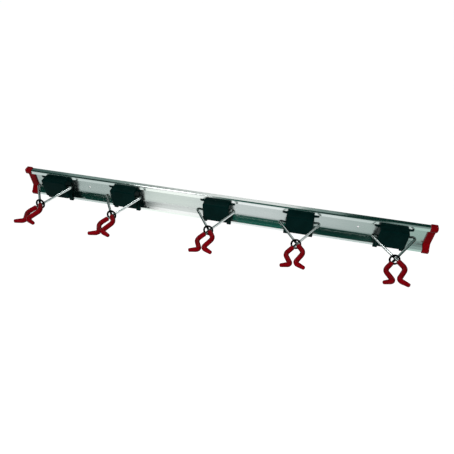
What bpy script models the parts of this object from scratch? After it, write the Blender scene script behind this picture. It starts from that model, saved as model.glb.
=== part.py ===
"""Wall rack for long-handled garden tools.

An aluminium rail carries five holders that slide along it. Each holder is a two-part black housing
with two crossed steel wire arms. The arms end in sleeved jaws that open when they are lifted.

Metres, +Z up. X runs along the rail, the wall is the plane Y = 0, and the holders face -Y.
Sections are written as (forward, up): forward is the distance from the wall, which is -Y.
"""

import math

import bmesh
import bpy
from mathutils import Matrix, Vector

# Fits
FIT_GAP = 0.0003
SLIDE_GAP = 0.0005
SWING_GAP = 0.0006

# Rail section and length
RAIL_LENGTH = 1.000
RAIL_HEIGHT = 0.068
RAIL_WALL = 0.0022
NOSE_DEPTH = 0.0125
NOSE_DROP = 0.0100
NOSE_ROUND = 0.0032
COVE_RADIUS = 0.0060
COVE_TURN = math.radians(60.0)
LIP_DEPTH = 0.0160
LIP_HEIGHT = 0.0060
SCREW_HOLE_RADIUS = 0.0025
SCREW_HOLE_FROM_END = 0.162

# End caps
CAP_GRIP = 0.012
CAP_END_WALL = 0.004
CAP_WALL = 0.0025
CAP_NECK = 0.0045
CAP_ROUND = 0.0065
CAP_END_EDGE = 0.0022
CAP_MOUTH_EDGE = 0.0010

# Holder places along the rail: two from each end, and one from the middle
HOLDERS_FROM_LEFT_END = (0.080, 0.266)
HOLDER_FROM_MIDDLE = 0.003
HOLDERS_FROM_RIGHT_END = (0.2967, 0.086)

# Housing
EAR_HALF_WIDTH = 0.043
EAR_HEIGHT = 0.008
EAR_ROUND = 0.002
EAR_GUSSET = 0.002
FLANGE_INSET = 0.003
BODY_SETBACK = 0.0018
HOUSING_HALF_WIDTH = 0.032
HOUSING_HEIGHT = 0.048
HOUSING_DEPTH = 0.032
HOUSING_ROUND = 0.004
COVER_EDGE = 0.0022
LUG_INNER_X = 0.025
LUG_WIDTH = 0.010
LUG_THICKNESS = 0.0028
LUG_ROOT = 0.008
HOOK_THICKNESS = 0.0022
HOOK_REACH = 0.004

# Housing screws
HOUSING_SCREW_X = 0.024
HOUSING_SCREW_RISE = 0.0008
HOUSING_SCREW_RADIUS = 0.0015
HOUSING_SCREW_HEAD_RADIUS = 0.0030
HOUSING_SCREW_HEAD = 0.0022
HOUSING_SCREW_RECESS = 0.0030
HOUSING_SCREW_BITE = 0.0050
SOCKET_RADIUS = 0.0014
SOCKET_DEPTH = 0.0014

# Wire arms: the corners that the wire is bent at, and the radius of each bend
WIRE_RADIUS = 0.0028
PIVOT_FORWARD = 0.0235
ARM_UP = 0.005
PIVOT_RAISE = 0.0015
PIVOT_STAGGER = 0.0045
PIVOT_SLOPE = math.radians(10.0)
PIVOT_X = 0.045
CRANK_X = 0.012
CRANK_LENGTH = 0.009
CRANK_BEND = 0.0035
BEND_X = 0.050
BEND_RADIUS = 0.0055
LOOP_X = 0.0195
LOOP_FORWARD = 0.1275
LOOP_RADIUS = 0.016
PINCH_X = 0.0038
PINCH_FORWARD = 0.160
PINCH_RADIUS = 0.0075
FOOT_X = 0.0262
FOOT_FORWARD = 0.1700
CROSSING_GAP = 0.0010
PINCH_RISE = 0.5
FOOT_RISE = 0.2
LIFT = math.radians(40.0)

# Sleeves on the jaws
SLEEVE_RADIUS = 0.0056
SLEEVE_START = 0.0110
SLEEVE_TIP = 0.0030
SLEEVE_TAPER = 0.78
SLEEVE_ENTRY = 0.0020

# Ring round the crossing
RING_RADIUS = 0.0099
RING_CORD_RADIUS = 0.0022
RING_LEAN = math.radians(20.0)
RING_HANG = 0.0005
RING_PIVOT_FORWARD = 0.0280
RING_PIVOT_DROP = 0.0190

# Mesh fineness
ARC_STEP = math.radians(24.0)
RAIL_STEP = math.radians(12.0)
WIRE_STEPS = 2
HOLE_SIDES = 16
BORE_SIDES = 12
SHANK_SIDES = 8
SOCKET_SIDES = 6
RING_STEPS = 20
RING_SIDES = 8
EMPTY_SIZE = 0.010

# Derived places along the rail
RAIL_RIGHT = RAIL_LENGTH / 2
RAIL_LEFT = -RAIL_RIGHT
HOLDER_X = (
    *(RAIL_LEFT + inset for inset in HOLDERS_FROM_LEFT_END),
    HOLDER_FROM_MIDDLE,
    *(RAIL_RIGHT - inset for inset in HOLDERS_FROM_RIGHT_END),
)

# Derived heights and depths of the rail
RAIL_TOP = RAIL_HEIGHT / 2
RAIL_BOTTOM = -RAIL_HEIGHT / 2
NOSE_LOW = RAIL_TOP - NOSE_DROP
LIP_FRONT = RAIL_WALL + LIP_DEPTH
LIP_TOP = RAIL_BOTTOM + LIP_HEIGHT
COVE_FORWARD = RAIL_WALL + COVE_RADIUS
LEDGE_RUN = LIP_FRONT - COVE_FORWARD + COVE_RADIUS * math.cos(COVE_TURN)
COVE_UP = LIP_TOP + LEDGE_RUN / math.tan(COVE_TURN) + COVE_RADIUS * math.sin(COVE_TURN)
COVE_ANGLES = (180.0, 180.0 + math.degrees(COVE_TURN))

# Derived places in the housing
FLANGE_BACK = RAIL_WALL + SLIDE_GAP
FLANGE_FRONT = NOSE_DEPTH - RAIL_WALL - SLIDE_GAP
BODY_BACK = FLANGE_BACK + BODY_SETBACK
TONGUE_TOP = RAIL_TOP - NOSE_ROUND - SLIDE_GAP
HOUSING_TOP = NOSE_LOW - SLIDE_GAP
HOUSING_BOTTOM = HOUSING_TOP - HOUSING_HEIGHT
BASE_FRONT = PIVOT_FORWARD - FIT_GAP / 2
COVER_BACK = PIVOT_FORWARD + FIT_GAP / 2
HOUSING_SCREW_UP = COVE_UP + HOUSING_SCREW_RISE
BORE_RADIUS = WIRE_RADIUS + FIT_GAP

# Material colours, roughness and metallic values
ALUMINIUM = ("anodised_aluminium", (0.62, 0.66, 0.64), 0.28, 1.0)
BLACK_PLASTIC = ("black_plastic", (0.012, 0.016, 0.015), 0.45, 0.0)
ZINC_STEEL = ("zinc_plated_steel", (0.72, 0.74, 0.74), 0.22, 1.0)
RED_VINYL = ("red_vinyl", (0.42, 0.012, 0.020), 0.38, 0.0)
RED_PLASTIC = ("red_plastic", (0.40, 0.010, 0.014), 0.40, 0.0)
BLACK_RUBBER = ("black_rubber", (0.010, 0.010, 0.010), 0.60, 0.0)

# Sections are drawn in a plane and pushed along the third axis
ALONG_RAIL = Matrix(((0, 0, -1, 0), (-1, 0, 0, 0), (0, 1, 0, 0), (0, 0, 0, 1)))
OUT_FROM_WALL = Matrix(((1, 0, 0, 0), (0, 0, -1, 0), (0, 1, 0, 0), (0, 0, 0, 1)))


def clear_scene():
    for obj in list(bpy.data.objects):
        bpy.data.objects.remove(obj, do_unlink=True)


def new_collection(name, hidden):
    made = bpy.data.collections.new(name)
    made.hide_render = hidden
    bpy.context.scene.collection.children.link(made)
    return made


def material(name, colour, roughness, metallic):
    made = bpy.data.materials.get(name)
    if made:
        return made
    made = bpy.data.materials.new(name)
    made.use_nodes = True
    shader = made.node_tree.nodes["Principled BSDF"]
    shader.inputs["Base Color"].default_value = (*colour, 1.0)
    shader.inputs["Roughness"].default_value = roughness
    shader.inputs["Metallic"].default_value = metallic
    return made


def helper(obj):
    """Marks a cutter or a master shape, which isn't a piece of the rack."""
    obj.hide_render = True
    obj.display_type = "WIRE"
    HELPERS.objects.link(obj)
    return obj


def place(name, data, look, parent=None, at=(0, 0, 0)):
    """Adds a piece of the rack."""
    obj = bpy.data.objects.new(name, data)
    if not data.materials:
        data.materials.append(material(*look))
    obj.parent = parent
    obj.location = at
    RACK.objects.link(obj)
    return obj


def pivot(name, parent, at):
    """An empty on a joint's axis, which the moving pieces hang on."""
    empty = bpy.data.objects.new(name, None)
    empty.empty_display_size = EMPTY_SIZE
    empty.parent = parent
    empty.location = at
    RACK.objects.link(empty)
    return empty


def arc(centre, radius, start, end, step=ARC_STEP):
    """Points of an arc in a plane, from one angle to another in degrees."""
    steps = max(2, round(abs(math.radians(end - start)) / step))
    angles = [math.radians(start + (end - start) * i / steps) for i in range(steps + 1)]
    return [(centre[0] + radius * math.cos(a), centre[1] + radius * math.sin(a)) for a in angles]


def rounded_rectangle(low, high, radius):
    (x0, y0), (x1, y1) = low, high
    return (
        arc((x1 - radius, y1 - radius), radius, 0, 90)
        + arc((x0 + radius, y1 - radius), radius, 90, 180)
        + arc((x0 + radius, y0 + radius), radius, 180, 270)
        + arc((x1 - radius, y0 + radius), radius, 270, 360)
    )


def rounded_path(corners, radii):
    """A path in space through straight runs, with an arc of the given radius at each inner corner."""
    corners = [Vector(c) for c in corners]
    path = [corners[0]]
    for before, corner, after, radius in zip(corners, corners[1:], corners[2:], radii):
        to_before = (before - corner).normalized()
        to_after = (after - corner).normalized()
        turn = math.pi - to_before.angle(to_after)
        start = corner + to_before * radius * math.tan(turn / 2)
        centre = corner + (to_before + to_after).normalized() * radius / math.cos(turn / 2)
        spin_axis = to_after.cross(to_before).normalized()
        steps = max(2, round(turn / ARC_STEP))
        for i in range(steps + 1):
            spin = Matrix.Rotation(turn * i / steps, 3, spin_axis)
            path.append(centre + spin @ (start - centre))
    path.append(corners[-1])
    return path


def shortened(path, length):
    """The path with its last straight run made shorter."""
    return path[:-1] + [path[-1] + (path[-2] - path[-1]).normalized() * length]


def tube_data(name, path, radius, tip=((0.0, 1.0),)):
    """A round wire along a path. The tip lists (distance past the path's end, share of the radius)."""
    data = bpy.data.curves.new(name, "CURVE")
    data.dimensions = "3D"
    data.bevel_depth = radius
    data.bevel_resolution = WIRE_STEPS
    data.use_fill_caps = True
    onwards = (path[-1] - path[-2]).normalized()
    points = [(point, 1.0) for point in path[:-1]]
    points += [(path[-1] + onwards * distance, share) for distance, share in tip]
    spline = data.splines.new("POLY")
    spline.points.add(len(points) - 1)
    for target, (point, share) in zip(spline.points, points):
        target.co = (*point, 1.0)
        target.radius = share
    spline.use_smooth = True
    return data


def prism_data(name, outline, depth):
    """A flat outline pushed to a depth, half to each side of its plane."""
    data = bpy.data.curves.new(name, "CURVE")
    data.dimensions = "2D"
    data.fill_mode = "BOTH"
    data.extrude = depth / 2
    spline = data.splines.new("POLY")
    spline.points.add(len(outline) - 1)
    for target, (a, b) in zip(spline.points, outline):
        target.co = (a, b, 0.0, 1.0)
    spline.use_cyclic_u = True
    return data


def meshed(data, matrix):
    """A curve as a welded mesh object, moved into the model's axes."""
    curve = bpy.data.objects.new(data.name, data)
    bpy.context.scene.collection.objects.link(curve)
    bpy.context.view_layer.update()
    graph = bpy.context.evaluated_depsgraph_get()
    mesh = bpy.data.meshes.new_from_object(curve.evaluated_get(graph))
    bpy.data.objects.remove(curve, do_unlink=True)
    mesh.transform(matrix)
    shape = bmesh.new()
    shape.from_mesh(mesh)
    bmesh.ops.remove_doubles(shape, verts=shape.verts, dist=1e-6)
    bmesh.ops.recalc_face_normals(shape, faces=shape.faces)
    shape.to_mesh(mesh)
    shape.free()
    return bpy.data.objects.new(data.name, mesh)


def bar(name, section, x0, x1):
    """A section in (forward, up), pushed along the rail from x0 to x1."""
    middle = Matrix.Translation(((x0 + x1) / 2, 0, 0))
    return meshed(prism_data(name, section, x1 - x0), middle @ ALONG_RAIL)


def plate(name, outline, back, front):
    """An outline in (X, Z), with its depth given as two distances from the wall."""
    middle = Matrix.Translation((0, -(back + front) / 2, 0))
    return meshed(prism_data(name, outline, front - back), middle @ OUT_FROM_WALL)


def cylinder(name, start, end, radius, sides):
    start, end = Vector(start), Vector(end)
    turn = (end - start).to_track_quat("Z", "Y").to_matrix().to_4x4()
    shape = bmesh.new()
    bmesh.ops.create_cone(
        shape,
        cap_ends=True,
        segments=sides,
        radius1=radius,
        radius2=radius,
        depth=(end - start).length,
        matrix=Matrix.Translation((start + end) / 2) @ turn,
    )
    mesh = bpy.data.meshes.new(name)
    shape.to_mesh(mesh)
    shape.free()
    return bpy.data.objects.new(name, mesh)


def box(name, low, high):
    low, high = Vector(low), Vector(high)
    shape = bmesh.new()
    bmesh.ops.create_cube(
        shape, size=1.0, matrix=Matrix.Translation((low + high) / 2) @ Matrix.Diagonal((*(high - low), 1.0))
    )
    mesh = bpy.data.meshes.new(name)
    shape.to_mesh(mesh)
    shape.free()
    return bpy.data.objects.new(name, mesh)


def boolean(obj, operation, others):
    for other in others:
        step = obj.modifiers.new(f"{operation.lower()} {other.name}", "BOOLEAN")
        step.operation = operation
        step.solver = "EXACT"
        step.object = helper(other)
    return obj


def round_rim(obj, axis, at, width, segments):
    """Rounds the edges that lie in a plane across one axis, where 0 is X and 1 is Y."""
    shape = bmesh.new()
    shape.from_mesh(obj.data)
    bmesh.ops.dissolve_limit(shape, angle_limit=math.radians(1), verts=shape.verts, edges=shape.edges)
    rim = [e for e in shape.edges if all(abs(v.co[axis] - at) < 1e-6 for v in e.verts)]
    bmesh.ops.bevel(shape, geom=rim, offset=width, segments=segments, profile=0.5, affect="EDGES")
    shape.to_mesh(obj.data)
    shape.free()
    return obj


def master(obj):
    """The finished mesh of a shape that is used several times."""
    helper(obj)
    bpy.context.view_layer.update()
    graph = bpy.context.evaluated_depsgraph_get()
    mesh = bpy.data.meshes.new_from_object(obj.evaluated_get(graph))
    mesh.name = obj.name
    return mesh


def smooth(mesh):
    mesh.shade_smooth()
    mesh.set_sharp_from_angle(angle=math.radians(35))
    return mesh


def rail_section(gap=0.0):
    """The rail's section. A gap makes it larger all round, for the pocket of an end cap.

    Below the web a cove curves forward to a sloping ledge, and the lip hangs down from its front.
    """
    nose_corner = (NOSE_DEPTH - NOSE_ROUND, RAIL_TOP - NOSE_ROUND)
    nose_outer = NOSE_ROUND + gap
    nose_inner = NOSE_ROUND - RAIL_WALL - gap
    cove = (COVE_FORWARD, COVE_UP)
    upper = arc(cove, COVE_RADIUS - gap, *COVE_ANGLES, RAIL_STEP)
    under = arc(cove, COVE_RADIUS + RAIL_WALL + gap, *COVE_ANGLES, RAIL_STEP)
    lip_back = LIP_FRONT - RAIL_WALL - gap
    under_ledge = under[-1][1] - (lip_back - under[-1][0]) / math.tan(COVE_TURN)
    return (
        [(-gap, COVE_UP), (-gap, RAIL_TOP + gap)]
        + arc(nose_corner, nose_outer, 90, 0, RAIL_STEP)
        + [(NOSE_DEPTH + gap, NOSE_LOW - gap), (NOSE_DEPTH - RAIL_WALL - gap, NOSE_LOW - gap)]
        + arc(nose_corner, nose_inner, 0, 90)
        + [(RAIL_WALL + gap, RAIL_TOP - RAIL_WALL - gap)]
        + upper
        + [(LIP_FRONT + gap, LIP_TOP + gap * math.tan(COVE_TURN / 2)), (LIP_FRONT + gap, RAIL_BOTTOM - gap)]
        + [(lip_back, RAIL_BOTTOM - gap), (lip_back, under_ledge)]
        + under[:0:-1]
    )


def make_rail():
    rail = bar("rail", rail_section(), RAIL_LEFT, RAIL_RIGHT)
    hole_x = {"left": RAIL_LEFT + SCREW_HOLE_FROM_END, "right": RAIL_RIGHT - SCREW_HOLE_FROM_END}
    holes = [
        cylinder(
            f"rail_screw_hole_{side}",
            (x, RAIL_WALL, 0),
            (x, -2 * RAIL_WALL, 0),
            SCREW_HOLE_RADIUS,
            HOLE_SIDES,
        )
        for side, x in hole_x.items()
    ]
    boolean(rail, "DIFFERENCE", holes)
    rail.data.materials.append(material(*ALUMINIUM))
    RACK.objects.link(rail)


def cap_section():
    """Outside of an end cap: a bulb over the nose, a neck along web and cove, and a foot over the lip."""
    bulb_front = NOSE_DEPTH + CAP_WALL
    bulb_low = NOSE_LOW - CAP_WALL
    neck_front = RAIL_WALL + CAP_NECK
    foot_front = LIP_FRONT + CAP_WALL
    foot_low = RAIL_BOTTOM - CAP_WALL
    foot_top = LIP_TOP + CAP_WALL
    foot_round = min(CAP_ROUND, (foot_top - foot_low) / 2) * 0.8
    neck = arc((COVE_FORWARD, COVE_UP), COVE_RADIUS - CAP_NECK, *COVE_ANGLES)
    top_round = arc((bulb_front - CAP_ROUND, RAIL_TOP + CAP_WALL - CAP_ROUND), CAP_ROUND, 90, 0)
    low_round = arc((bulb_front - CAP_ROUND, bulb_low + CAP_ROUND), CAP_ROUND, 0, -90)
    foot_upper = arc((foot_front - foot_round, foot_top - foot_round), foot_round, 90, 0)
    foot_lower = arc((foot_front - foot_round, foot_low + foot_round), foot_round, 0, -90)
    return (
        [(0.0, foot_low), (0.0, RAIL_TOP + CAP_WALL)]
        + top_round
        + low_round
        + [(neck_front, bulb_low)]
        + neck
        + foot_upper
        + foot_lower
    )


def make_caps():
    """One cap slips over each end of the rail."""
    for side, sign in (("left", -1), ("right", 1)):
        inner = sign * (RAIL_RIGHT - CAP_GRIP)
        outer = sign * (RAIL_RIGHT + CAP_END_WALL)
        floor = sign * (RAIL_RIGHT + FIT_GAP)
        mouth = inner - sign * CAP_GRIP
        cap = bar(f"end_cap_{side}", cap_section(), *sorted((inner, outer)))
        round_rim(cap, 0, outer, CAP_END_EDGE, 3)
        round_rim(cap, 0, inner, CAP_MOUTH_EDGE, 1)
        pocket = bar(f"end_cap_pocket_{side}", rail_section(FIT_GAP), *sorted((mouth, floor)))
        boolean(cap, "DIFFERENCE", [pocket])
        cap.data.materials.append(material(*RED_PLASTIC))
        RACK.objects.link(cap)


def arm_axis(side):
    """A point on the arm's pivot axis, and the direction that the axis leaves the housing in."""
    point = Vector((side * PIVOT_X, -PIVOT_FORWARD, ARM_UP + PIVOT_RAISE + side * PIVOT_STAGGER))
    outwards = Vector((side * math.cos(PIVOT_SLOPE), 0, math.sin(PIVOT_SLOPE)))
    return point, outwards


def on_axis(side, x):
    """The point of the arm's pivot axis at this distance from the holder's middle."""
    point, outwards = arm_axis(side)
    return point + outwards * (x - PIVOT_X) / math.cos(PIVOT_SLOPE)


def bore_cutters(side):
    """What the arm's stub needs in the housing: a bore to the side, and a pocket for the crank's swing."""
    name = "left" if side < 0 else "right"
    inner = on_axis(side, CRANK_X)
    bore = cylinder(
        f"arm_bore_{name}", inner, on_axis(side, HOUSING_HALF_WIDTH + WIRE_RADIUS), BORE_RADIUS, BORE_SIDES
    )
    room = WIRE_RADIUS + SWING_GAP
    drift = CRANK_LENGTH * math.sin(LIFT) * math.sin(PIVOT_SLOPE)
    drop = CRANK_LENGTH * math.sin(LIFT) * math.cos(PIVOT_SLOPE)
    pocket = box(
        f"crank_pocket_{name}",
        (inner.x - room - drift, -PIVOT_FORWARD - room, inner.z - drop - room),
        (inner.x + room + drift, -PIVOT_FORWARD + CRANK_LENGTH + room, inner.z + WIRE_RADIUS + FIT_GAP),
    )
    return [bore, pocket]


def screw_cutters():
    """Clearance holes through the base, heads sunk in its back, and blind holes in the cover."""
    cutters = []
    for name, x in (("left", -HOUSING_SCREW_X), ("right", HOUSING_SCREW_X)):
        seat = -(FLANGE_BACK + HOUSING_SCREW_RECESS)
        tip = -(PIVOT_FORWARD + HOUSING_SCREW_BITE + FIT_GAP)
        up = HOUSING_SCREW_UP
        hole = HOUSING_SCREW_RADIUS + FIT_GAP
        recess = HOUSING_SCREW_HEAD_RADIUS + FIT_GAP
        cutters.append(cylinder(f"screw_hole_{name}", (x, 0, up), (x, tip, up), hole, BORE_SIDES))
        cutters.append(cylinder(f"screw_recess_{name}", (x, 0, up), (x, seat, up), recess, BORE_SIDES))
    return cutters


def copies(cutters):
    """Second set of the same cutters, because the base and the cover are cut one by one."""
    return [bpy.data.objects.new(f"{c.name}_cover", c.data) for c in cutters]


def cove_room():
    """Section that a slider leaves free for the rail's cove and lip."""
    lip_room = LIP_FRONT + SLIDE_GAP
    low = RAIL_BOTTOM - HOUSING_HEIGHT
    return (
        [(0.0, low), (0.0, COVE_UP)]
        + arc((COVE_FORWARD, COVE_UP), COVE_RADIUS - SLIDE_GAP, *COVE_ANGLES)
        + [(lip_room, LIP_TOP + SLIDE_GAP), (lip_room, low)]
    )


def housing_masters():
    """Meshes of the base that slides on the rail, and of the cover that closes it."""
    flange_low = max(COVE_UP + SLIDE_GAP, HOUSING_BOTTOM + LUG_ROOT)
    flange_half = HOUSING_HALF_WIDTH - FLANGE_INSET
    ear_low = HOUSING_TOP - EAR_HEIGHT
    ear_middle = EAR_HALF_WIDTH - EAR_ROUND
    flange_outline = (
        arc((ear_middle, TONGUE_TOP - EAR_ROUND), EAR_ROUND, 0, 90)
        + arc((-ear_middle, TONGUE_TOP - EAR_ROUND), EAR_ROUND, 90, 180)
        + arc((-ear_middle, ear_low + EAR_ROUND), EAR_ROUND, 180, 270)
        + [(-flange_half, ear_low - EAR_GUSSET), (-flange_half, flange_low)]
        + [(flange_half, flange_low), (flange_half, ear_low - EAR_GUSSET)]
        + arc((ear_middle, ear_low + EAR_ROUND), EAR_ROUND, 270, 360)
    )
    base = plate("slider_base", flange_outline, FLANGE_BACK, FLANGE_FRONT)

    outline = rounded_rectangle(
        (-HOUSING_HALF_WIDTH, HOUSING_BOTTOM), (HOUSING_HALF_WIDTH, HOUSING_TOP), HOUSING_ROUND
    )
    body = plate("slider_body", outline, BODY_BACK, BASE_FRONT)
    room = bar("slider_cove_room", cove_room(), -EAR_HALF_WIDTH, EAR_HALF_WIDTH)

    lug_back = LIP_FRONT + SLIDE_GAP
    lug_front = lug_back + LUG_THICKNESS
    hook_top = RAIL_BOTTOM - SLIDE_GAP
    hook_low = hook_top - HOOK_THICKNESS
    lug_section = [
        (lug_front, HOUSING_BOTTOM + LUG_ROOT),
        (lug_back, HOUSING_BOTTOM + LUG_ROOT),
        (lug_back, hook_top),
        (LIP_FRONT - HOOK_REACH, hook_top),
        (LIP_FRONT - HOOK_REACH, hook_low),
        (lug_front, hook_low),
    ]
    lugs = [
        bar(f"slider_lug_{name}", lug_section, x, x + LUG_WIDTH)
        for name, x in (("left", -LUG_INNER_X - LUG_WIDTH), ("right", LUG_INNER_X))
    ]
    boolean(base, "UNION", [body])
    boolean(base, "DIFFERENCE", [room])
    boolean(base, "UNION", lugs)

    cutters = bore_cutters(-1) + bore_cutters(1) + screw_cutters()
    cover_cutters = copies(cutters)
    boolean(base, "DIFFERENCE", cutters)

    cover = plate("front_cover", outline, COVER_BACK, HOUSING_DEPTH)
    round_rim(cover, 1, -HOUSING_DEPTH, COVER_EDGE, 3)
    boolean(cover, "DIFFERENCE", [c for c in cover_cutters if "recess" not in c.name])
    return smooth(master(base)), smooth(master(cover))


def screw_master():
    """A housing screw at the holder's middle, with its head to the wall and a hexagon socket."""
    under_head = FLANGE_BACK + HOUSING_SCREW_RECESS - FIT_GAP
    top = under_head - HOUSING_SCREW_HEAD
    tip = PIVOT_FORWARD + HOUSING_SCREW_BITE
    up = HOUSING_SCREW_UP
    socket_floor = top + SOCKET_DEPTH
    shank_start = socket_floor + FIT_GAP
    screw = cylinder("screw_head", (0, -top, up), (0, -under_head, up), HOUSING_SCREW_HEAD_RADIUS, BORE_SIDES)
    shank = cylinder("screw_shank", (0, -shank_start, up), (0, -tip, up), HOUSING_SCREW_RADIUS, SHANK_SIDES)
    socket = cylinder("screw_socket", (0, 0, up), (0, -socket_floor, up), SOCKET_RADIUS, SOCKET_SIDES)
    boolean(screw, "UNION", [shank])
    boolean(screw, "DIFFERENCE", [socket])
    return smooth(master(screw))


def arm_path(side):
    """Corners of an arm in two runs: from the crank to the sleeve, and inside the sleeve to its foot.

    The arm starts at its own side and crosses to the other. The left arm passes over the right one.
    """
    inner = on_axis(side, CRANK_X)
    crank = inner + Vector((0, CRANK_LENGTH, 0))
    bend = on_axis(side, BEND_X)
    level = -side * (WIRE_RADIUS + CROSSING_GAP / 2) + ARM_UP
    rise = (level - bend.z) * (BEND_X + LOOP_X) / BEND_X
    loop = Vector((-side * LOOP_X, -LOOP_FORWARD, bend.z + rise))
    height = loop.z - ARM_UP
    pinch = Vector((-side * PINCH_X, -PINCH_FORWARD, ARM_UP + PINCH_RISE * height))
    foot = Vector((-side * FOOT_X, -FOOT_FORWARD, ARM_UP + FOOT_RISE * height))
    crossing = bend.lerp(loop, BEND_X / (BEND_X + LOOP_X))
    mouth = crossing + (loop - bend).normalized() * SLEEVE_START
    inner_run = rounded_path([crank, inner, bend, mouth], [CRANK_BEND, BEND_RADIUS])
    outer_run = rounded_path([mouth, loop, pinch, foot], [LOOP_RADIUS, PINCH_RADIUS])
    return inner_run, outer_run


def arm_masters(side):
    """The wire of one arm, and the sleeve on its jaw."""
    name = "left" if side < 0 else "right"
    inner_run, outer_run = arm_path(side)
    sleeved = shortened(outer_run, SLEEVE_TIP)
    wire = tube_data(f"wire_{name}", inner_run[:-1] + shortened(sleeved, FIT_GAP), WIRE_RADIUS)

    dome = ((0.0, 1.0), (0.5, 0.95), (0.85, 0.75), (1.0, 0.4))
    tip = [(SLEEVE_TIP * distance, SLEEVE_TAPER * share) for distance, share in dome]
    sleeve = meshed(tube_data(f"sleeve_{name}", sleeved, SLEEVE_RADIUS, tip), Matrix.Identity(4))
    before = sleeved[0] + (sleeved[0] - sleeved[1]).normalized() * SLEEVE_ENTRY
    bore = meshed(tube_data(f"sleeve_bore_{name}", [before] + sleeved[1:], BORE_RADIUS), Matrix.Identity(4))
    boolean(sleeve, "DIFFERENCE", [bore])
    return wire, smooth(master(sleeve))


def ring_place():
    """Middle of the ring as it hangs round the crossing, leaning back to the wall at the top."""
    reach = LOOP_FORWARD - PIVOT_FORWARD
    forward = PIVOT_FORWARD + reach * BEND_X / (BEND_X + LOOP_X)
    stack = 2 * WIRE_RADIUS + CROSSING_GAP / 2 + RING_HANG
    drop = (RING_RADIUS - RING_CORD_RADIUS) * math.cos(RING_LEAN) - stack
    return Vector((0, -forward, ARM_UP - drop))


def ring_master():
    bpy.ops.mesh.primitive_torus_add(
        major_radius=RING_RADIUS,
        minor_radius=RING_CORD_RADIUS,
        major_segments=RING_STEPS,
        minor_segments=RING_SIDES,
    )
    torus = bpy.context.object
    mesh = torus.data
    mesh.name = "ring"
    bpy.data.objects.remove(torus, do_unlink=True)
    lean = Matrix.Rotation(math.radians(90) - RING_LEAN, 4, "X")
    mesh.transform(Matrix.Translation(ring_place()) @ lean)
    return smooth(mesh)


def make_holders():
    """Five holders, each with its own empties on the joint axes. Copies share their meshes."""
    base, cover = housing_masters()
    screw = screw_master()
    wires = {side: arm_masters(side) for side in (-1, 1)}
    ring = ring_master()
    for number, x in enumerate(HOLDER_X, 1):
        holder = pivot(f"holder_{number}", None, (x, 0, 0))
        place(f"slider_base_{number}", base, BLACK_PLASTIC, holder)
        place(f"front_cover_{number}", cover, BLACK_PLASTIC, holder)
        for side, name in ((-1, "left"), (1, "right")):
            place(f"screw_{name}_{number}", screw, ZINC_STEEL, holder, (side * HOUSING_SCREW_X, 0, 0))
            axis_point, _ = arm_axis(side)
            hinge = pivot(f"arm_pivot_{name}_{number}", holder, axis_point)
            wire, sleeve = wires[side]
            place(f"wire_{name}_{number}", wire, ZINC_STEEL, hinge, -axis_point)
            place(f"sleeve_{name}_{number}", sleeve, RED_VINYL, hinge, -axis_point)
        ring_axis = Vector((0, -RING_PIVOT_FORWARD, ARM_UP - RING_PIVOT_DROP))
        hanger = pivot(f"ring_pivot_{number}", holder, ring_axis)
        place(f"ring_{number}", ring, BLACK_RUBBER, hanger, -ring_axis)


clear_scene()
RACK = new_collection("garden_tool_rack", False)
HELPERS = new_collection("cutters", True)
make_rail()
make_caps()
make_holders()
bpy.context.view_layer.update()
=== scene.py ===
"""Looks of the garden tool rack: materials, smooth wires and sleeves, studio and camera."""

import math

import bpy
from mathutils import Matrix, Quaternion, Vector


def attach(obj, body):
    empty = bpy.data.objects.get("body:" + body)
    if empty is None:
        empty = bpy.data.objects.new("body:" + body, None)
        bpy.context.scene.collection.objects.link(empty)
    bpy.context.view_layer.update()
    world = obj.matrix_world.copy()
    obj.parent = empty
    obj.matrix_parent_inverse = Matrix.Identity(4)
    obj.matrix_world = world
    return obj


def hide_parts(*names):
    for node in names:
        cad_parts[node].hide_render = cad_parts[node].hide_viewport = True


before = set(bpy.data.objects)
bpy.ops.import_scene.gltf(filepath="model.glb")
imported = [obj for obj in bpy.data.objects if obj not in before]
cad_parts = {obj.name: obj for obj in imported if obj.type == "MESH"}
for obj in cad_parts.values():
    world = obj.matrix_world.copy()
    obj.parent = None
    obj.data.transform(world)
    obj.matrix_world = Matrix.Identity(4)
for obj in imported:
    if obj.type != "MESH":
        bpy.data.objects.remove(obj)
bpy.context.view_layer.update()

# Camera, as fitted to the photograph. The focal length and the shifts are in the photograph's pixels
IMAGE_SIZE = 454
CAMERA_AT = Vector((0.2025, -0.7669, 0.6210))
CAMERA_YAW = math.radians(-12.39)
CAMERA_PITCH = math.radians(-46.17)
CAMERA_ROLL = math.radians(0.57)
FOCAL_SHARE = 405.9 / IMAGE_SIZE
SHIFT_SHARE = (-3.4 / IMAGE_SIZE, 36.3 / IMAGE_SIZE)
SENSOR_MM = 36.0
NEAREST_SEEN = 0.02

# Holders along the rail, and their sides
HOLDER_X = (-0.420, -0.234, 0.003, 0.2033, 0.414)
SIDES = ((-1, "left"), (1, "right"))

# Wire arms: the corners that the wire is bent at, and the radius of each bend
WIRE_RADIUS = 0.0028
PIVOT_FORWARD = 0.0235
ARM_UP = 0.005
PIVOT_RAISE = 0.0015
PIVOT_STAGGER = 0.0045
PIVOT_SLOPE = math.radians(10.0)
PIVOT_X = 0.045
CRANK_X = 0.012
CRANK_LENGTH = 0.009
CRANK_BEND = 0.0035
BEND_X = 0.050
BEND_RADIUS = 0.0055
LOOP_X = 0.0195
LOOP_FORWARD = 0.1275
LOOP_RADIUS = 0.016
PINCH_X = 0.0038
PINCH_FORWARD = 0.160
PINCH_RADIUS = 0.0075
FOOT_X = 0.0262
FOOT_FORWARD = 0.1700
CROSSING_GAP = 0.0010

# Share of the loop's height over the crossing that the pinch and the foot keep
PINCH_RISE = 0.5
FOOT_RISE = 0.2

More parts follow.
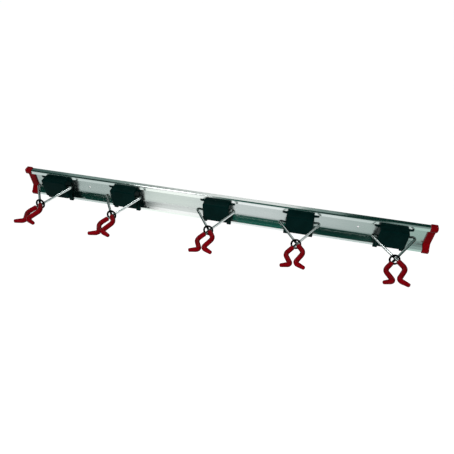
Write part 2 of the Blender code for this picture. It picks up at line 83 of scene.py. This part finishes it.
# Sleeves. The rim is given as distances from the mouth and shares of the radius
SLEEVE_RADIUS = 0.0056
SLEEVE_START = 0.0110
SLEEVE_RIM = ((0.0, 0.66), (0.0002, 0.90), (0.0007, 0.99), (0.0014, 1.0))
SLEEVE_TAPER = 0.78
SLEEVE_TIP = 0.0030
TIP_ANGLES = (15, 30, 45, 60, 75, 86)
TIP_BLUNTNESS = 0.8
WIRE_SETBACK = 1.1 * SLEEVE_TIP

# Rings
RING_RADIUS = 0.0099
RING_CORD_RADIUS = 0.0022
RING_LEAN = math.radians(20.0)
RING_HANG = 0.0005

# Fineness of the smooth pieces, and the least angle of an edge that stays sharp on the solids
ARC_STEP = math.radians(6.0)
TAPER_STEPS = 8
RING_STEPS = 60
TUBE_RESOLUTION = 6
SHARP_ANGLE = math.radians(32.0)

# Colours of the materials. A pair is the two ends of a mottled range
SATIN = ((0.62, 0.67, 0.65), (0.69, 0.73, 0.71))
# Painted reflection: the lighter colour that the rail's front faces of nose and lip turn to
PAINTED_REFLECTION_COLOUR = (0.94, 0.97, 0.95)
HOUSING_BLACK = ((0.0003, 0.0058, 0.0052), (0.0008, 0.0100, 0.0092))
HOUSING_SHEEN = (0.08, 0.65, 0.55)
ZINC = ((0.58, 0.63, 0.62), (0.72, 0.76, 0.75))
# Painted shade: the darker colour that the wires turn to inside the ring and near the pivot
PAINTED_SHADE_ZINC = (0.16, 0.19, 0.18)
SLEEVE_RED = ((0.100, 0.0006, 0.0020), (0.158, 0.0012, 0.0040))
CAP_RED = ((0.115, 0.0008, 0.0020), (0.175, 0.0014, 0.0036))
RED_SHEEN = (1.0, 0.22, 0.25)
RING_BLACK = ((0.0004, 0.0009, 0.0009), (0.0018, 0.0026, 0.0025))
SCREW_ZINC = ((0.48, 0.49, 0.48), (0.62, 0.63, 0.62))

# Stretches of Y in which a finish, a painted reflection or a painted shade turns into another, from the
# far end to the end near the wall
PAINTED_REFLECTION_FRONT = (-0.0124, -0.0118)
WEB_FRONT = (-0.0060, -0.0028)
RAIL_BACK = (-0.0012, -0.0004)
# Painted shade on the wires: from the ring onward, and near the pivot
RING_PAINTED_SHADE = (-0.095, -0.088)
PIVOT_PAINTED_SHADE = (-0.0300, -0.0268)

# Noise: its usual range, and how strongly its fine detail shows
NOISE_LOW = 0.25
NOISE_HIGH = 0.75
NOISE_ROUGHNESS = 0.55

# Colour sockets of a Mix node, whose names its other sockets share
MIX_FIRST = 6
MIX_SECOND = 7
MIX_RESULT = 2

# Studio: a floor well below the rack, and flags and panels at one distance from the rail
FLOOR_UP = -1.6
FLOOR_HALF = 20.0
FLOOR_COLOUR = (0.80, 0.80, 0.80)
FLOOR_GLOW = 0.965
WORLD_LIGHT = 0.03
CARD_DISTANCE = 1.5
CARD_STEP = 5

# Colours of the flags and panels, from dark to light
DARK = (0.004, 0.030, 0.023)
TEAL = (0.010, 0.088, 0.065)
DEEP = (0.07, 0.13, 0.12)
DIM = (0.24, 0.33, 0.31)
HALF = (0.30, 0.37, 0.36)
GREEN_GREY = (0.40, 0.55, 0.50)
MID = (0.47, 0.50, 0.49)
GREY = (0.54, 0.61, 0.60)
LIGHT_GREY = (0.64, 0.70, 0.70)
SOFT_WHITE = (0.72, 0.74, 0.73)
PALE = (0.83, 0.86, 0.87)
WHITE = (0.95, 1.00, 0.96)

# Flags and panels: name, first and last angle in degrees, left and right edge, colour
CARDS = (
    ("floor_panel_1", -62, -28, -3.0, -0.80, GREY),
    ("floor_panel_2", -62, -28, -0.80, -0.41, WHITE),
    ("floor_panel_3", -62, -28, -0.41, 0.12, PALE),
    ("floor_panel_4", -62, -28, 0.12, 0.45, LIGHT_GREY),
    ("floor_panel_5", -62, -28, 0.45, 0.70, GREY),
    ("floor_panel_6", -62, -28, 0.70, 3.0, GREEN_GREY),
    ("flag_edge_left", -28, -9, -1.6, -0.735, HALF),
    ("flag_edge_right", -28, -9, -0.34, 1.6, HALF),
    ("flag_low_left", -9, 6, -1.6, -0.735, DEEP),
    ("flag_low_right", -9, 6, -0.34, 0.70, DEEP),
    ("flag_front_left", 6, 124, -6.0, -0.735, DARK),
    ("flag_front_middle", 6, 124, -0.34, 0.20, TEAL),
    ("flag_front_right", 6, 124, 0.20, 0.70, DARK),
    ("flag_front_end", -9, 124, 0.70, 1.6, DIM),
    ("flag_high_right", 100, 124, 1.6, 18.0, DARK),
    ("flag_back_1", 124, 156, -6.0, -1.30, DEEP),
    ("flag_back_2", 124, 156, -1.30, -0.80, DIM),
    ("flag_back_3", 124, 156, -0.80, -0.61, MID),
    ("flag_back_4", 124, 156, -0.61, -0.41, SOFT_WHITE),
    ("flag_back_5", 124, 156, 0.20, 0.45, DIM),
    ("flag_back_6", 124, 156, 0.45, 18.0, DARK),
    ("flag_behind_left", 156, 180, -6.0, -0.80, DIM),
    ("flag_behind_middle", 156, 188, -0.80, 0.80, DEEP),
    ("flag_behind_right", 156, 180, 0.80, 3.0, DIM),
    ("flag_behind_end", 156, 206, 3.0, 18.0, DARK),
    ("flag_below", 206, 256, -5.0, 18.0, DARK),
    ("flag_below_left", 256, 275, -5.0, -0.9, DARK),
)

# Lamps: name, place, size, watts, and whether it shows in mirrors
LAMP_TARGET = Vector((0, -0.08, 0))
LAMPS = (
    ("top_lamp", (0.00, -0.45, 1.25), (1.6, 0.35), 3.0, False),
    ("front_lamp", (0.10, -1.05, 0.86), (0.45, 0.25), 22.0, False),
    ("small_lamp", (-0.48, 0.36, 1.20), (0.45, 0.25), 2.5, True),
)


def node_tree(name):
    """A new material, with its node tree and its Principled shader."""
    made = bpy.data.materials.new(name)
    made.use_nodes = True
    tree = made.node_tree
    return made, tree, tree.nodes["Principled BSDF"]


def link(tree, source, target):
    tree.links.new(source, target)


def noise(tree, scale, stretch=(1, 1, 1), detail=4.0):
    """Noise in the object's own metres. The stretch makes streaks along an axis."""
    place = tree.nodes.new("ShaderNodeTexCoord")
    mapping = tree.nodes.new("ShaderNodeMapping")
    mapping.inputs["Scale"].default_value = stretch
    texture = tree.nodes.new("ShaderNodeTexNoise")
    texture.inputs["Scale"].default_value = scale
    texture.inputs["Detail"].default_value = detail
    texture.inputs["Roughness"].default_value = NOISE_ROUGHNESS
    link(tree, place.outputs["Object"], mapping.inputs["Vector"])
    link(tree, mapping.outputs["Vector"], texture.inputs["Vector"])
    return texture.outputs["Fac"]


def mapped(tree, value, start, end, at_start, at_end):
    """Maps a value that runs from start to end to another range."""
    span = tree.nodes.new("ShaderNodeMapRange")
    span.inputs["From Min"].default_value = start
    span.inputs["From Max"].default_value = end
    span.inputs["To Min"].default_value = at_start
    span.inputs["To Max"].default_value = at_end
    link(tree, value, span.inputs["Value"])
    return span.outputs["Result"]


def spread(tree, factor, low, high):
    """Maps a noise to a range of values."""
    return mapped(tree, factor, NOISE_LOW, NOISE_HIGH, low, high)


def outward(tree, stretch, at_far, at_near):
    """A value that changes with the distance from the wall, along a stretch of Y."""
    place = tree.nodes.new("ShaderNodeTexCoord")
    parts = tree.nodes.new("ShaderNodeSeparateXYZ")
    link(tree, place.outputs["Object"], parts.inputs["Vector"])
    return mapped(tree, parts.outputs["Y"], *stretch, at_far, at_near)


def together(tree, first, second, operation="ADD"):
    """The sum of two values that vary, or what another operation makes of them."""
    step = tree.nodes.new("ShaderNodeMath")
    step.operation = operation
    link(tree, first, step.inputs[0])
    link(tree, second, step.inputs[1])
    return step.outputs["Value"]


def mottled(tree, factor, places, colours):
    """Two colours along a noise, each at its place."""
    made = tree.nodes.new("ShaderNodeValToRGB")
    for element, place, colour in zip(made.color_ramp.elements, places, colours):
        element.position = place
        element.color = (*colour, 1.0)
    link(tree, factor, made.inputs["Fac"])
    return made.outputs["Color"]


def turning(tree, colour, factor, other):
    """The colour, turning to another one where the factor goes to 1."""
    mix = tree.nodes.new("ShaderNodeMix")
    mix.data_type = "RGBA"
    link(tree, factor, mix.inputs["Factor"])
    link(tree, colour, mix.inputs[MIX_FIRST])
    mix.inputs[MIX_SECOND].default_value = (*other, 1.0)
    return mix.outputs[MIX_RESULT]


def bump(tree, shader, height, strength, distance):
    made = tree.nodes.new("ShaderNodeBump")
    made.inputs["Strength"].default_value = strength
    made.inputs["Distance"].default_value = distance
    link(tree, height, made.inputs["Height"])
    link(tree, made.outputs["Normal"], shader.inputs["Normal"])


def aluminium():
    """Satin extrusion with fine die lines and faint clouds.

    The web and the back are duller. The front faces of nose and lip turn to a lighter colour, a painted
    reflection that brightens them.
    """
    made, tree, shader = node_tree("satin_aluminium")
    lines = noise(tree, 900.0, stretch=(0.004, 1.0, 1.0), detail=3.0)
    clouds = noise(tree, 26.0, stretch=(0.12, 1.0, 1.0))
    satin = mottled(tree, clouds, (0.30, 0.70), SATIN)
    # Painted reflection: the front faces of nose and lip turn to a lighter colour
    colour = turning(tree, satin, outward(tree, PAINTED_REFLECTION_FRONT, 1.0, 0.0), PAINTED_REFLECTION_COLOUR)
    web = outward(tree, WEB_FRONT, 0.13, 0.20)
    back = outward(tree, RAIL_BACK, 0.0, 0.30)
    dullness = together(tree, together(tree, web, back), spread(tree, lines, -0.03, 0.04))
    link(tree, colour, shader.inputs["Base Color"])
    link(tree, dullness, shader.inputs["Roughness"])
    shader.inputs["Metallic"].default_value = 1.0
    bump(tree, shader, lines, 0.025, 0.0001)
    return made


def black_plastic():
    """Moulded housing, with a fine grain and a slightly worn sheen."""
    made, tree, shader = node_tree("moulded_black")
    grain = noise(tree, 2600.0, detail=2.0)
    wear = noise(tree, 45.0, detail=6.0)
    link(tree, mottled(tree, wear, (0.35, 0.75), HOUSING_BLACK), shader.inputs["Base Color"])
    link(tree, spread(tree, wear, 0.34, 0.50), shader.inputs["Roughness"])
    shader.inputs["Specular IOR Level"].default_value = 0.05
    shader.inputs["Specular Tint"].default_value = (*HOUSING_SHEEN, 1.0)
    bump(tree, shader, grain, 0.16, 0.0002)
    return made


def zinc_wire():
    """Bright zinc plating with drawn streaks and dull patches, with painted shade that darkens it inside
    the ring and near the pivot.
    """
    made, tree, shader = node_tree("bright_zinc")
    patches = noise(tree, 140.0, detail=6.0)
    streaks = noise(tree, 700.0, stretch=(1.0, 0.15, 1.0), detail=3.0)
    plating = mottled(tree, patches, (0.30, 0.72), ZINC)
    # Painted shade: darker from the ring onward to the tip, and near the pivot where the wire goes into
    # the housing
    ring = outward(tree, RING_PAINTED_SHADE, 1.0, 0.0)
    pivot = outward(tree, PIVOT_PAINTED_SHADE, 0.0, 1.0)
    colour = turning(tree, plating, together(tree, ring, pivot), PAINTED_SHADE_ZINC)
    link(tree, colour, shader.inputs["Base Color"])
    link(tree, spread(tree, patches, 0.085, 0.115), shader.inputs["Roughness"])
    shader.inputs["Metallic"].default_value = 1.0
    bump(tree, shader, streaks, 0.015, 0.0002)
    return made


def red_vinyl():
    """Dipped vinyl sleeve: soft gloss, an uneven skin and darker thin spots."""
    made, tree, shader = node_tree("dipped_red_vinyl")
    mottle = noise(tree, 90.0, detail=5.0)
    skin = noise(tree, 420.0, detail=3.0)
    link(tree, mottled(tree, mottle, (0.30, 0.72), SLEEVE_RED), shader.inputs["Base Color"])
    link(tree, spread(tree, mottle, 0.18, 0.28), shader.inputs["Roughness"])
    shader.inputs["Specular IOR Level"].default_value = 0.09
    shader.inputs["Specular Tint"].default_value = (*RED_SHEEN, 1.0)
    bump(tree, shader, skin, 0.12, 0.0004)
    return made


def red_plastic():
    """Moulded end cap with a fine grain and faint flow marks."""
    made, tree, shader = node_tree("moulded_red")
    mottle = noise(tree, 70.0, detail=5.0)
    grain = noise(tree, 1800.0, detail=2.0)
    link(tree, mottled(tree, mottle, (0.30, 0.72), CAP_RED), shader.inputs["Base Color"])
    link(tree, spread(tree, mottle, 0.24, 0.36), shader.inputs["Roughness"])
    shader.inputs["Specular IOR Level"].default_value = 0.10
    shader.inputs["Specular Tint"].default_value = (*RED_SHEEN, 1.0)
    bump(tree, shader, grain, 0.10, 0.0002)
    return made


def black_rubber():
    """Moulded ring, matt with a dusty bloom."""
    made, tree, shader = node_tree("black_ring")
    bloom = noise(tree, 260.0, detail=5.0)
    link(tree, mottled(tree, bloom, (0.35, 0.80), RING_BLACK), shader.inputs["Base Color"])
    link(tree, spread(tree, bloom, 0.42, 0.62), shader.inputs["Roughness"])
    shader.inputs["Specular IOR Level"].default_value = 0.03
    bump(tree, shader, bloom, 0.10, 0.0003)
    return made


def screw_steel():
    """Zinc plated screw with dull and bright patches."""
    made, tree, shader = node_tree("screw_zinc")
    patches = noise(tree, 900.0, detail=5.0)
    link(tree, mottled(tree, patches, (0.30, 0.72), SCREW_ZINC), shader.inputs["Base Color"])
    link(tree, spread(tree, patches, 0.22, 0.40), shader.inputs["Roughness"])
    shader.inputs["Metallic"].default_value = 1.0
    return made


def rounded_path(corners, radii):
    """A path in space through straight runs, with an arc of the given radius at each inner corner."""
    path = [corners[0]]
    for before, corner, after, radius in zip(corners, corners[1:], corners[2:], radii):
        to_before = (before - corner).normalized()
        to_after = (after - corner).normalized()
        turn = math.pi - to_before.angle(to_after)
        start = corner + to_before * radius * math.tan(turn / 2)
        centre = corner + (to_before + to_after).normalized() * radius / math.cos(turn / 2)
        spin_axis = to_after.cross(to_before).normalized()
        steps = max(2, round(turn / ARC_STEP))
        for i in range(steps + 1):
            spin = Matrix.Rotation(turn * i / steps, 3, spin_axis)
            path.append(centre + spin @ (start - centre))
    path.append(corners[-1])
    return path


def on_axis(side, x):
    """The point of an arm's pivot axis at this distance from the holder's middle."""
    point = Vector((side * PIVOT_X, -PIVOT_FORWARD, ARM_UP + PIVOT_RAISE + side * PIVOT_STAGGER))
    outwards = Vector((side * math.cos(PIVOT_SLOPE), 0, math.sin(PIVOT_SLOPE)))
    return point + outwards * (x - PIVOT_X) / math.cos(PIVOT_SLOPE)


def arm_path(side):
    """An arm's line in two runs: from the crank to the sleeve, and inside the sleeve to its foot."""
    inner = on_axis(side, CRANK_X)
    crank = inner + Vector((0, CRANK_LENGTH, 0))
    bend = on_axis(side, BEND_X)
    level = -side * (WIRE_RADIUS + CROSSING_GAP / 2) + ARM_UP
    rise = (level - bend.z) * (BEND_X + LOOP_X) / BEND_X
    loop = Vector((-side * LOOP_X, -LOOP_FORWARD, bend.z + rise))
    height = loop.z - ARM_UP
    pinch = Vector((-side * PINCH_X, -PINCH_FORWARD, ARM_UP + PINCH_RISE * height))
    foot = Vector((-side * FOOT_X, -FOOT_FORWARD, ARM_UP + FOOT_RISE * height))
    crossing = bend.lerp(loop, BEND_X / (BEND_X + LOOP_X))
    mouth = crossing + (loop - bend).normalized() * SLEEVE_START
    inner_run = rounded_path([crank, inner, bend, mouth], [CRANK_BEND, BEND_RADIUS])
    outer_run = rounded_path([mouth, loop, pinch, foot], [LOOP_RADIUS, PINCH_RADIUS])
    return inner_run, outer_run


def tube(name, points, look, offset):
    """A round piece along (point, radius) pairs."""
    data = bpy.data.curves.new(name, "CURVE")
    data.dimensions = "3D"
    data.bevel_depth = 1.0
    data.bevel_resolution = TUBE_RESOLUTION
    data.use_fill_caps = True
    spline = data.splines.new("POLY")
    spline.points.add(len(points) - 1)
    for target, (point, radius) in zip(spline.points, points):
        target.co = (*(point + offset), 1.0)
        target.radius = radius
    spline.use_smooth = True
    data.materials.append(look)
    obj = bpy.data.objects.new(name, data)
    bpy.context.scene.collection.objects.link(obj)
    return obj


def wire_points(inner_run, outer_run):
    """The wire's whole line, which ends a little short of the sleeve's tip."""
    last = outer_run[-1] + (outer_run[-2] - outer_run[-1]).normalized() * WIRE_SETBACK
    return [(point, WIRE_RADIUS) for point in inner_run[:-1] + outer_run[:-1] + [last]]


def sleeve_points(outer_run):
    """The sleeve's outside: a rolled rim at its mouth, a taper along the foot and a domed tip."""
    start, after = outer_run[:2]
    along = (after - start).normalized()
    points = [(start + along * distance, SLEEVE_RADIUS * share) for distance, share in SLEEVE_RIM]
    points += [(point, SLEEVE_RADIUS) for point in outer_run[1:-1]]
    knee, foot = outer_run[-2:]
    onwards = (foot - knee).normalized()
    run = (foot - knee).length - SLEEVE_TIP
    for i in range(1, TAPER_STEPS + 1):
        share = 1.0 - (1.0 - SLEEVE_TAPER) * i / TAPER_STEPS
        points.append((knee + onwards * run * i / TAPER_STEPS, SLEEVE_RADIUS * share))
    for angle in TIP_ANGLES:
        turn = math.radians(angle)
        at = knee + onwards * (run + SLEEVE_TIP * math.sin(turn))
        points.append((at, SLEEVE_RADIUS * SLEEVE_TAPER * math.cos(turn) ** TIP_BLUNTNESS))
    return points


def ring_points():
    """The ring's line round the crossing, leaning back to the wall at the top."""
    reach = LOOP_FORWARD - PIVOT_FORWARD
    forward = PIVOT_FORWARD + reach * BEND_X / (BEND_X + LOOP_X)
    stack = 2 * WIRE_RADIUS + CROSSING_GAP / 2 + RING_HANG
    drop = (RING_RADIUS - RING_CORD_RADIUS) * math.cos(RING_LEAN) - stack
    middle = Vector((0, -forward, ARM_UP - drop))
    across = Vector((1, 0, 0))
    upwards = Vector((0, math.sin(RING_LEAN), math.cos(RING_LEAN)))
    points = []
    for i in range(RING_STEPS):
        turn = 2 * math.pi * i / RING_STEPS
        spoke = math.cos(turn) * across + math.sin(turn) * upwards
        points.append((middle + RING_RADIUS * spoke, RING_CORD_RADIUS))
    return points


def dress_holders(zinc, vinyl, rubber):
    """Smooth wires, sleeves and rings in the places of the plain solids."""
    runs = {side: arm_path(side) for side, _ in SIDES}
    loop = ring_points()
    for number, x in enumerate(HOLDER_X, 1):
        offset = Vector((x, 0, 0))
        for side, name in SIDES:
            inner_run, outer_run = runs[side]
            wire = tube(f"smooth_wire_{name}_{number}", wire_points(inner_run, outer_run), zinc, offset)
            sleeve = tube(f"smooth_sleeve_{name}_{number}", sleeve_points(outer_run), vinyl, offset)
            for piece, node, slot in (
                (wire, f"wire_{name}_{number}", "wire_zinc"),
                (sleeve, f"sleeve_{name}_{number}", "sleeve_vinyl"),
            ):
                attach(piece, f"arm_{name}_{number}")
                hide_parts(node)
        ring = tube(f"smooth_ring_{number}", loop, rubber, offset)
        ring.data.splines[0].use_cyclic_u = True
        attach(ring, f"ring_{number}")
        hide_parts(f"ring_{number}")


def paint(node, look):
    """Gives a solid its material, and smooth shading between its sharp edges."""
    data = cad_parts[node].data
    data.materials.clear()
    data.materials.append(look)
    data.shade_smooth()
    data.set_sharp_from_angle(angle=SHARP_ANGLE)


def dress_solids(metal, black, red, steel):
    """Materials for the solids that show as they are."""
    paint("rail", metal)
    for _, name in SIDES:
        paint(f"end_cap_{name}", red)
    for number in range(1, len(HOLDER_X) + 1):
        paint(f"slider_base_{number}", black)
        paint(f"front_cover_{number}", black)
        for _, name in SIDES:
            paint(f"screw_{name}_{number}", steel)


def make_camera():
    """The camera at the photograph's place, with its view shifted to the photograph's frame."""
    data = bpy.data.cameras.new("camera")
    data.sensor_width = SENSOR_MM
    data.lens = FOCAL_SHARE * SENSOR_MM
    data.clip_start = NEAREST_SEEN
    data.shift_x, data.shift_y = SHIFT_SHARE
    camera = bpy.data.objects.new("camera", data)
    camera.location = CAMERA_AT
    level = math.cos(CAMERA_PITCH)
    towards = Vector((math.sin(CAMERA_YAW) * level, math.cos(CAMERA_YAW) * level, math.sin(CAMERA_PITCH)))
    turn = towards.to_track_quat("-Z", "Y") @ Quaternion((0, 0, 1), CAMERA_ROLL)
    camera.rotation_euler = turn.to_euler()
    bpy.context.scene.collection.objects.link(camera)
    bpy.context.scene.camera = camera


def seen_white(tree):
    """1 for rays from the camera, from a mirror or through glass, so that the studio is white in them."""
    path = tree.nodes.new("ShaderNodeLightPath")
    seen = path.outputs["Is Camera Ray"]
    for name in ("Is Glossy Ray", "Is Transmission Ray"):
        seen = together(tree, seen, path.outputs[name], "MAXIMUM")
    return seen


def make_floor():
    """A pale floor, white to the camera and in mirrors, which keeps the rack's shadow."""
    mesh = bpy.data.meshes.new("floor")
    turns = ((-1, -1), (1, -1), (1, 1), (-1, 1))
    corners = [(a * FLOOR_HALF, b * FLOOR_HALF, FLOOR_UP) for a, b in turns]
    mesh.from_pydata(corners, [], [(0, 1, 2, 3)])
    floor = bpy.data.objects.new("floor", mesh)
    made, tree, shader = node_tree("pale_floor")
    shader.inputs["Base Color"].default_value = (*FLOOR_COLOUR, 1.0)
    shader.inputs["Roughness"].default_value = 0.9
    shader.inputs["Specular IOR Level"].default_value = 0.1
    shader.inputs["Emission Color"].default_value = (1.0, 1.0, 1.0, 1.0)
    glow = mapped(tree, seen_white(tree), 0.0, 1.0, 0.0, FLOOR_GLOW)
    link(tree, glow, shader.inputs["Emission Strength"])
    mesh.materials.append(made)
    bpy.context.scene.collection.objects.link(floor)


def make_world():
    """White to the camera and in mirrors, and soft white light for matt surfaces."""
    world = bpy.data.worlds.new("studio")
    world.use_nodes = True
    tree = world.node_tree
    background = tree.nodes["Background"]
    background.inputs["Color"].default_value = (1.0, 1.0, 1.0, 1.0)
    light = mapped(tree, seen_white(tree), 0.0, 1.0, WORLD_LIGHT, 1.0)
    link(tree, light, background.inputs["Strength"])
    bpy.context.scene.world = world


def card(name, start, end, left, right, colour):
    """A curved grey panel or dark flag round the rail, seen in reflections alone.

    Its start and end are angles in degrees: 0 is level in front, 90 overhead and 180 level behind.
    """
    mesh = bpy.data.meshes.new(name)
    steps = max(2, round((end - start) / CARD_STEP))
    corners = []
    for i in range(steps + 1):
        angle = math.radians(start + (end - start) * i / steps)
        for x in (left, right):
            corners.append((x, -CARD_DISTANCE * math.cos(angle), CARD_DISTANCE * math.sin(angle)))
    faces = [(2 * i, 2 * i + 1, 2 * i + 3, 2 * i + 2) for i in range(steps)]
    mesh.from_pydata(corners, [], faces)
    made, tree, shader = node_tree(name)
    glow = tree.nodes.new("ShaderNodeEmission")
    glow.inputs["Color"].default_value = (*colour, 1.0)
    glow.inputs["Strength"].default_value = 1.0
    link(tree, glow.outputs["Emission"], tree.nodes["Material Output"].inputs["Surface"])
    tree.nodes.remove(shader)
    mesh.materials.append(made)
    obj = bpy.data.objects.new(name, mesh)
    obj.visible_camera = False
    obj.visible_diffuse = False
    obj.visible_shadow = False
    obj.visible_transmission = False
    bpy.context.scene.collection.objects.link(obj)


def lamp(name, at, size, watts, mirrored):
    """A soft lamp. The cards make most of the reflections, so few lamps are mirrored."""
    data = bpy.data.lights.new(name, "AREA")
    data.shape = "RECTANGLE"
    data.size, data.size_y = size
    data.energy = watts
    obj = bpy.data.objects.new(name, data)
    obj.location = at
    obj.rotation_euler = (LAMP_TARGET - Vector(at)).to_track_quat("-Z", "Y").to_euler()
    obj.visible_glossy = mirrored
    bpy.context.scene.collection.objects.link(obj)


def make_studio():
    """Floor, background, lamps, flags and panels."""
    make_floor()
    make_world()
    for values in LAMPS:
        lamp(*values)
    for values in CARDS:
        card(*values)


bpy.context.scene.view_settings.view_transform = "Standard"
dress_solids(aluminium(), black_plastic(), red_plastic(), screw_steel())
dress_holders(zinc_wire(), red_vinyl(), black_rubber())
make_studio()
make_camera()
bpy.context.view_layer.update()
